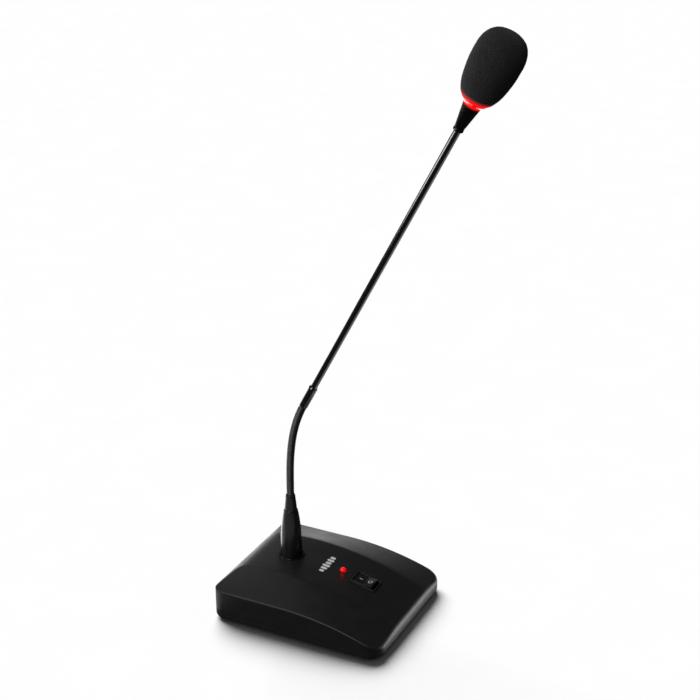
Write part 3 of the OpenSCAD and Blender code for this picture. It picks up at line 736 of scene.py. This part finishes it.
glow_place.location = (light_place @ Matrix.Translation((0, 0, 3.6 * mm))).translation
bpy.context.scene.collection.objects.link(glow_place)


# --- Stem ---
# A flange and a long cone in black polypropylene, with a soft shine from a polished mould. They
# stand over a hollow plated bush that the washer and nut clamp to the cover. A short tapered
# sleeve ends the stem.
bush_metal, shader, place = start_material("turned brass, nickel-plated", metallic=1)
mottle(bush_metal, shader, place, "#98968f", "#b5b3ab", 3, (0.3, 0.4))
rings_cut = add_node(bush_metal, "TexWave", {"Vector": place, "Scale": bands(0.5)},
                     bands_direction="Z")
thread = add_node(bush_metal, "Bump", {"Height": rings_cut.outputs["Fac"], "Strength": 0.8,
                                       "Distance": 0.15 * mm})
feed(bush_metal, shader, "Normal", thread.outputs["Normal"])
dress(["stem_bush"], bush_metal)

stem_plastic, shader, place = start_material("moulded polypropylene, polished", ior=1.49)
mottle(stem_plastic, shader, place, "#0e0e0f", "#121213", 8, (0.22, 0.27))
grain(stem_plastic, shader, place, 0.8, 0.005, 0.2)

flange_top = flange_seat + 1.4
outline = [(5.1, flange_seat), (10.3, flange_seat), (10.3, flange_top), (5.1, flange_top)]
flange = turned("stem_flange_ring", softened(outline, 0.35), stem_plastic, stem_place)
finish_piece(flange, "base", "stem_plastic", "stem_flange")

outline = [(5.1, flange_top), (8.8, flange_top), (8.7, 37.6), (8.55, 40), (8.35, 43), (8.15, 48),
           (7.95, 53), (7.68, 58), (7.3, 62), (6.78, 66.5), (6.15, 71), (5.45, 74.7), (4.9, 74.7),
           (4.9, 75.2), (2.4, 75.2), (2.4, 42), (5.1, 42)]
cone = turned("stem_cone", softened(outline, 0.3), stem_plastic, stem_place, sides=96)
finish_piece(cone, "base", "stem_plastic", "root_cone")

outline = [(2.4, 75.2), (4.9, 75.2), (4.72, 77.4), (4.5, 79.6), (4.2, 82.5), (3.85, 86.0),
           (3.62, 86.1), (3.62, 86.4), (3.82, 86.5), (3.6, 87.6), (3.04, 87.6), (3.04, 79.6),
           (2.4, 79.6)]
sleeve = turned("stem_sleeve", softened(outline, 0.15), stem_plastic, stem_place, sides=72)
finish_piece(sleeve, "base", "stem_plastic", "root_sleeve")


# --- Flexible neck ---
# Two hardened steel wires wound into a springy tube, blackened and oiled. It is cut into one
# length per joint, each drawn at rest from the middle of one link to the middle of the next.
blackened, shader, place = start_material("blackened spring steel", metallic=0.55, ior=1.5)
mottle(blackened, shader, place, "#37373b", "#48484d", 3, (0.3, 0.4))
grain(blackened, shader, place, 0.4, 0.015, 0.4)

links, pitch, tilt = 12, 6.4, math.radians(27.9)
neck_start = Vector((0, stem_y, 89.25))
steps_per_link, spare_steps = 40, 400


def neck_lean(s):
    """Lean of the neck after so many links, in radians."""
    return tilt * (max(s, 0) / links) ** 2 if s < links else tilt


neck_line = [neck_start]
for i in range(links * steps_per_link + spare_steps):
    a = neck_lean((i + 0.5) / steps_per_link)
    step = pitch / steps_per_link
    neck_line.append(neck_line[-1] + Vector((0, -math.sin(a) * step, math.cos(a) * step)))


def neck_place(s):
    """Placement across the neck after so many links, in millimetres."""
    if s <= 0:
        centre = neck_start + Vector((0, 0, s * pitch))
    else:
        at = min(s * steps_per_link, len(neck_line) - 1.001)
        centre = neck_line[int(at)].lerp(neck_line[int(at) + 1], at - int(at))
    return Matrix.Translation(centre) @ Matrix.Rotation(neck_lean(s), 4, "X")


# Real wires are 1.2 mm thick: they are drawn 1.6 mm apart so that they show.
wire_pitch, groove_r, wire_rise, rows_per_turn = 1.6, 2.35, 0.65, 10
lead_r, lead_rows = 0.65, 12


def wound_ring(s, sides=28):
    """A ring round the neck: the wires stand out in a helix."""
    place = neck_place(s)
    ring = []
    for k in range(sides):
        a = 2 * math.pi * k / sides
        phase = 2 * math.pi * s * pitch / wire_pitch - a
        r = groove_r + wire_rise * abs(math.cos(phase / 2))
        ring.append(place @ Vector((r * math.cos(a), r * math.sin(a), 0)) * mm)
    return ring


def plain_ring(s, radius, sides=10):
    """A plain circle round the neck's centre line."""
    place = neck_place(s)
    return [place @ Vector((radius * math.cos(2 * math.pi * k / sides),
                            radius * math.sin(2 * math.pi * k / sides), 0)) * mm
            for k in range(sides)]


lead_pvc, shader, place = start_material("PVC lead", ior=1.53)
mottle(lead_pvc, shader, place, "#3a3a3d", "#49494d", 5, (0.42, 0.5))
grain(lead_pvc, shader, place, 0.8, 0.02, 0.3)
for k in range(1, links + 1):
    first = k - 1.5 if k > 1 else -1.2
    last = k - 0.5 if k < links else links + 0.6
    rows = round((last - first) * pitch / wire_pitch * rows_per_turn)
    spots = [first + (last - first) * i / rows for i in range(rows + 1)]
    points, faces = lofted([wound_ring(s) for s in spots], start=False, end=False)
    length = mesh_object(f"neck_length_{k:02d}", points, faces, blackened, smooth=80)
    start, end = neck_place(k - 1.45).translation * mm, neck_place(k - 0.55).translation * mm
    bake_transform(length)
    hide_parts(f"flex_link_{k:02d}", *(["flex_ferrule"] if k == 1 else []))
    spots = [first + (last - first) * i / lead_rows for i in range(lead_rows + 1)]
    points, faces = lofted([plain_ring(s, lead_r) for s in spots], start=False, end=False)
    lead = mesh_object(f"neck_lead_{k:02d}", points, faces, lead_pvc, smooth=80)
    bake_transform(lead)
    if k == 1:
        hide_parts("flex_lead")
dress(["base_lead", "rod_lead"], lead_pvc)


# --- Collar and rod ---
# A crimped collar joins the neck to a thin steel tube, which the lead runs through. Both are
# sprayed and stoved in gloss black, which runs very smooth.
rod_paint, shader, place = start_material("stove enamel, gloss black", ior=1.52, Coat_Weight=0.8,
                                          Coat_Roughness=0.04)
mottle(rod_paint, shader, place, "#040404", "#070708", 12, (0.14, 0.2))
grain(rod_paint, shader, place, 1.8, 0.006, 0.3)

collar_base = neck_line[links * steps_per_link]


def at_rod(s):
    """Placement across the rod at a distance from the start of the collar, in metres."""
    along = Vector((0, -math.sin(tilt), math.cos(tilt)))
    return Matrix.Translation((collar_base + along * s) * mm) @ Matrix.Rotation(tilt, 4, "X")


rod_r, rod_bore_r, rod_start, rod_end = 2.64, 2.04, 10.8, 258.6
outline = [(3.04, 0), (3.2, 0), (3.5, 1.2), (3.5, 18.8), (2.8, 20.4), (2.66, 20.4),
           (2.66, rod_start), (3.04, rod_start)]
collar = turned("rod_collar", softened(outline, 0.15), rod_paint, at_rod(0))
finish_piece(collar, "boom", "rod_paint", "neck_collar")

rod_step = (rod_end - rod_start) / 20
outline = [(rod_bore_r, rod_start)] + [(rod_r, rod_start + rod_step * i) for i in range(20)]
outline += [(rod_r, rod_end), (rod_bore_r, rod_end)]
tube = turned("rod_tube", outline, rod_paint, at_rod(0), sides=48)
finish_piece(tube, "boom", "rod_paint", "rod")


# --- Head neck and light ring ---
# The head neck is a flared moulding in gloss black ABS. Lamps on a small board light a ring of
# red acrylic above it. The red glow it casts on the foam's edge and the neck's top is painted.
gloss_abs, shader, place = start_material("polished ABS", ior=1.53, specular=0.3)
mottle(gloss_abs, shader, place, "#040404", "#080809", 7, (0.14, 0.2))
grain(gloss_abs, shader, place, 1.5, 0.008, 0.3)


def painted_red_glow(material, shader, place, start, reach, strength):
    """Painted red glow of the ring's light, soaking past a piece's edge and fading along the rod.
    """
    base, along = at_rod(0).translation, at_rod(0).col[2].xyz
    spot = add_node(material, "VectorMath", {0: place, 1: along}, operation="DOT_PRODUCT")
    first = base.dot(along) + start * mm
    fade = add_node(material, "MapRange", {"Value": spot.outputs["Value"], "From Min": first,
                                           "From Max": first + reach * mm, "To Min": strength,
                                           "To Max": 0.0}, interpolation_type="SMOOTHSTEP")
    edge_end = first + reach * 0.2 * mm
    edge = add_node(material, "MapRange", {"Value": spot.outputs["Value"], "From Min": first,
                                           "From Max": edge_end})
    painted_glow = add_node(material, "Math", {0: fade.outputs[0], 1: edge.outputs[0]},
                      operation="MULTIPLY")
    feed(material, shader, "Emission Strength", painted_glow.outputs[0])
    shader.inputs["Emission Color"].default_value = colour("#ff2018")


neck_foot, neck_top, ring_start, ring_step, ring_top = 251.6, 272.5, 272.7, 274.5, 277.0
# The top of the head neck carries a painted red glow from the ring.
painted_red_glow(gloss_abs, shader, place, ring_start, -2.0, 0.8)
outline = [(2.66, neck_foot), (3.75, neck_foot), (3.75, 253.15), (3.5, 253.4), (6.7, neck_top),
           (5.3, neck_top), (5.3, 269.9), (1.7, 269.9), (1.7, 258.7), (2.66, 258.7)]
neck = turned("head_neck_flare", softened(outline, 0.3), gloss_abs, at_rod(0), sides=96)
finish_piece(neck, "boom", "head_gloss", "head_neck")

# Lamps cast in red resin: they shine too brightly for any grain to show.
lamp_resin, shader, place = start_material("lamp resin", ior=1.52, Emission_Strength=3,
                                           Emission_Color=colour("#ff1a10"))
mottle(lamp_resin, shader, place, "#d8322a", "#e84a40", 1, (0.3, 0.4))
dress(["ring_lamps"], lamp_resin)

# Acrylic takes a high polish: a clear gloss over an even red glow.
acrylic, shader, place = start_material("red acrylic, polished", ior=1.49, Emission_Strength=2.5,
                                        Emission_Color=colour("#ff0000"), Coat_Weight=0.6,
                                        Coat_Roughness=0.04)
mottle(acrylic, shader, place, "#c40808", "#e01410", 4, (0.1, 0.16))
grain(acrylic, shader, place, 2.5, 0.02, 0.3)
outline = [(2.0, ring_start), (6.8, ring_start), (7.6, 273.4), (9.1, 274.8), (9.9, 276.0),
           (9.9, ring_top), (7.62, ring_top), (7.62, ring_step), (2.0, ring_step)]
ring = turned("light_ring_clear", softened(outline, 0.35), acrylic, at_rod(0), sides=96)
finish_piece(ring, "boom", "ring_red", "light_ring")


# --- Capsule ---
# A slotted brass housing and a perforated cap, both nickelled, surround an electret capsule.
# The foam hides them until it is pulled off.
dress(["capsule_housing", "capsule_grille", "capsule"], nickel)


# --- Foam windscreen ---
# Open-cell polyurethane foam, ground to an egg and slipped over the capsule. It is matt black,
# and its cells break up the light into a fine grit, with painted shade in each cell's hollow.
foam_material, shader, place = start_material("polyurethane foam, open-cell", ior=1.5,
                                              specular=0.2, Sheen_Weight=0.25,
                                              Sheen_Roughness=0.6,
                                              Sheen_Tint=colour("#8a8a8c"))
# Cells are near 0.5 mm: they are drawn at 0.9 mm so that they show.
pores = add_node(foam_material, "TexVoronoi", {"Vector": place, "Scale": cells(0.9)})
# Each cell's hollow is painted darker than the walls round it: painted shade in the pores.
painted_pore_shade = add_node(foam_material, "MapRange", {"Value": pores.outputs["Distance"], "From Max": 0.75})
shade = add_node(foam_material, "Mix", {0: painted_pore_shade.outputs[0], 6: colour("#0e0e0e"),
                                        7: colour("#2c2c2c")}, data_type="RGBA")
feed(foam_material, shader, "Base Color", shade.outputs[2])
shader.inputs["Roughness"].default_value = 0.95
grit = add_node(foam_material, "Bump", {"Height": pores.outputs["Distance"], "Strength": 0.7,
                                        "Distance": 0.25 * mm})
feed(foam_material, shader, "Normal", grit.outputs["Normal"])

foam_start, belly_at, belly_r, tail_len, crown_len = 277.3, 305.6, 17.1, 32.4, 20.2
bore_r, bore_top, mouth_r, rim_soft = 7.9, 305.2, 8.3, 0.5
tail_power, tail_root, crown_power = 1.87, 0.292, 2.75
# The foam's lower edge carries a painted red glow from the ring.
painted_red_glow(foam_material, shader, place, foam_start + 0.35, 3.2, 0.5)


def tail_r(share):
    """Radius of the egg below its belly, at a share of the way to the tail's point."""
    return belly_r * (1 - share ** tail_power) ** tail_root


# The bore, from its closed top down to the mouth.
bore_side, mouth_side = bore_top - 0.9, foam_start + 0.4
outline = [(0.0, bore_top), (4.0, bore_top), (7.2, bore_top - 0.2), (bore_r, bore_side)]
outline += [(bore_r, bore_side - (bore_side - mouth_side) * i / 12) for i in range(1, 12)]
outline += [(bore_r, mouth_side), (mouth_r, foam_start)]

# The flat lower end, where the tail is cut off, and then the outside of the egg.
cut_share = (belly_at - foam_start) / tail_len
rim_r = tail_r(cut_share)
outline += [(mouth_r + (rim_r - rim_soft - mouth_r) * i / 4, foam_start) for i in range(1, 5)]
outline += [(rim_r - 0.15, foam_start + 0.12)]
for i in range(1, 110):
    t = cut_share * (1 - i / 110)
    outline.append((tail_r(t), belly_at - tail_len * t))
for i in range(100):
    t = math.sin(math.pi / 2 * i / 100)
    crown_r = belly_r * (1 - t ** crown_power) ** (1 / crown_power)
    outline.append((crown_r, belly_at + crown_len * t))
outline.append((0.0, belly_at + crown_len))
foam = turned("foam_windscreen", outline, foam_material, at_rod(0), sides=300, closed=False)

# Its ground outside is never quite even: small pits from cell to cell, and slow waves.
pit_size, pit_depth, wave_size, wave_depth = 1.1, 0.16, 9, 0.22
to_rod = at_rod(0).inverted()
outward = [vertex.normal.copy() for vertex in foam.data.vertices]
for vertex, away in zip(foam.data.vertices, outward):
    p = to_rod @ vertex.co / mm
    off_axis = Vector((p.x, p.y, 0)).length
    if p.z > foam_start + 0.05 and (off_axis > 8.2 or p.z > 306.5):
        near, _ = noise.voronoi(p / pit_size)
        swell = pit_depth * (near[0] - 0.45) + wave_depth * noise.noise(p / wave_size)
        vertex.co += away * swell * mm
foam.data.update()
finish_piece(foam, "foam", "foam_black", "windscreen")


# --- Floor and light ---
# Pale matt paper, lit by one broad light from behind that reaches nothing else. Soft panels light
# the object: low ones in place of the white floor's reflection, and others behind, above and on
# the left. Four of them reach only the base, the stem or the rod.
floor_paper, shader, place = start_material("pale matt paper", specular=0.0)
mottle(floor_paper, shader, place, "#f6f6f6", "#f8f8f8", 60, (0.9, 0.95))
floor = mesh_object("floor", [(-40, -40, 0), (40, -40, 0), (40, 40, 0), (-40, 40, 0)],
                    [(0, 1, 2, 3)], floor_paper)
floor.visible_glossy = False
floor.visible_diffuse = False


def light_group(name, pieces):
    """The pieces that a light reaches."""
    group = bpy.data.collections.new(name)
    for piece in pieces:
        group.objects.link(piece)
    return group


only_floor = light_group("only floor", [floor])
only_base = light_group("only base", [cover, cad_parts["bottom_tray"]])
only_stem = light_group("only stem", [flange, cone, sleeve])
only_rod = light_group("only rod", [collar, tube])

# This group is left out instead: its lights reach every piece but the floor.
not_floor = light_group("not floor", [floor])
not_floor.collection_objects[0].light_linking.link_state = "EXCLUDE"


def soft_panel(name, size, where, towards, power, lights):
    """A rectangular soft light that faces a point."""
    lamp = bpy.data.lights.new(name, "AREA")
    lamp.shape = "RECTANGLE"
    lamp.size, lamp.size_y = size
    lamp.energy = power
    panel = bpy.data.objects.new(name, lamp)
    bpy.context.scene.collection.objects.link(panel)
    panel.location = where
    panel.rotation_euler = (Vector(towards) - Vector(where)).to_track_quat("-Z", "Y").to_euler()
    panel.visible_camera = False
    panel.light_linking.receiver_collection = lights


overhead = bpy.data.lights.new("overhead", "SUN")
overhead.energy = 4.5
overhead.angle = math.radians(46)
sky = bpy.data.objects.new("overhead", overhead)
bpy.context.scene.collection.objects.link(sky)
sky.rotation_euler = Vector((0.64, 0.78, 1.0)).to_track_quat("Z", "Y").to_euler()
sky.light_linking.receiver_collection = only_floor

soft_panel("rear_floor", (2.6, 2.8), (1.3, 1.475, 0.001), (1.3, 1.475, 1), 48, not_floor)
soft_panel("edge_floor", (0.5, 0.26), (0.16, 0.205, 0.002), (0.16, 0.205, 1), 0.35, not_floor)
soft_panel("front_floor", (0.4, 0.3), (0.16, -0.226, 0.001), (0.16, -0.226, 1), 1.1, only_base)
soft_panel("left_floor", (0.8, 1.2), (-0.47, 0.3, 0.001), (-0.47, 0.3, 1), 1.2, only_stem)
soft_panel("right_floor", (0.6, 0.5), (0.2, -0.2, 0.001), (0.2, -0.2, 1), 0.8, only_rod)
soft_panel("left_spot", (0.16, 0.16), (-0.88, 0.27, 0.56), (0, 0, 0.18), 1.2, only_rod)
soft_panel("rear_wall", (1.8, 0.4), (1.9, 1.1, 0.3), (0, 0, 0.1), 3, not_floor)
soft_panel("rear_panel", (0.6, 0.6), (0.7, 1.22, 1.4), (0, 0, 0), 1.5, not_floor)
soft_panel("left_panel", (0.55, 0.14), (-0.5, 0.78, 0.36), (0, -0.09, 0.37), 2.0, not_floor)
soft_panel("top_strip", (0.3, 0.3), (-0.6, 0.6, 1.3), (0, 0, 0), 3, not_floor)
soft_panel("key_panel", (0.8, 0.8), (-1.2, 0.1, 1.3), (0, 0, 0.15), 10, not_floor)

world = bpy.data.worlds.new("studio")
world.use_nodes = True
backdrop = world.node_tree.nodes["Background"]
backdrop.inputs["Color"].default_value = (1, 1, 1, 1)
backdrop.inputs["Strength"].default_value = 0.06
bpy.context.scene.world = world
bpy.context.scene.view_settings.view_transform = "Standard"
